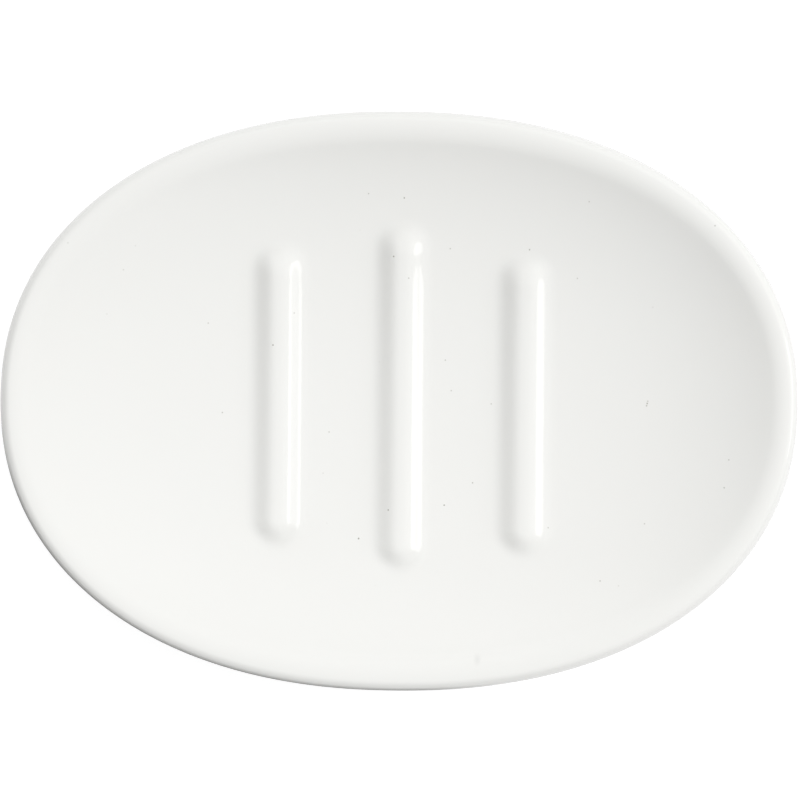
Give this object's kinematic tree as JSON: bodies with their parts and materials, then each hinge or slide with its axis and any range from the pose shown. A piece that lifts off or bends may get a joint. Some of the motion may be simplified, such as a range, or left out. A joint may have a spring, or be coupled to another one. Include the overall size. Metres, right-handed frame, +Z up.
{
  "type": "soap dish",
  "caption": "Oval glazed ceramic soap dish: a shallow basin with raised drainage ribs, a rolled lip, and a foot that stands on soft round pads.",
  "frame": {"origin": "middle of the dish in the plane that its four pads rest on", "axes": "+X along the dish's length to the right, +Y along the ribs to the rear, +Z up out of the basin"},
  "size_m": [0.14, 0.1016, 0.0212],
  "materials": {
    "glazed_body": "gloss",
    "soft_pad": "matte",
    "adhesive_film": "matte"
  },
  "bodies": {
    "root": {"dish_body": "glazed_body", "foot_pad_front_left": "soft_pad", "foot_pad_front_right": "soft_pad", "foot_pad_rear_left": "soft_pad", "foot_pad_rear_right": "soft_pad", "pad_adhesive_front_left": "adhesive_film", "pad_adhesive_front_right": "adhesive_film", "pad_adhesive_rear_left": "adhesive_film", "pad_adhesive_rear_right": "adhesive_film"}
  },
  "joints": []
}
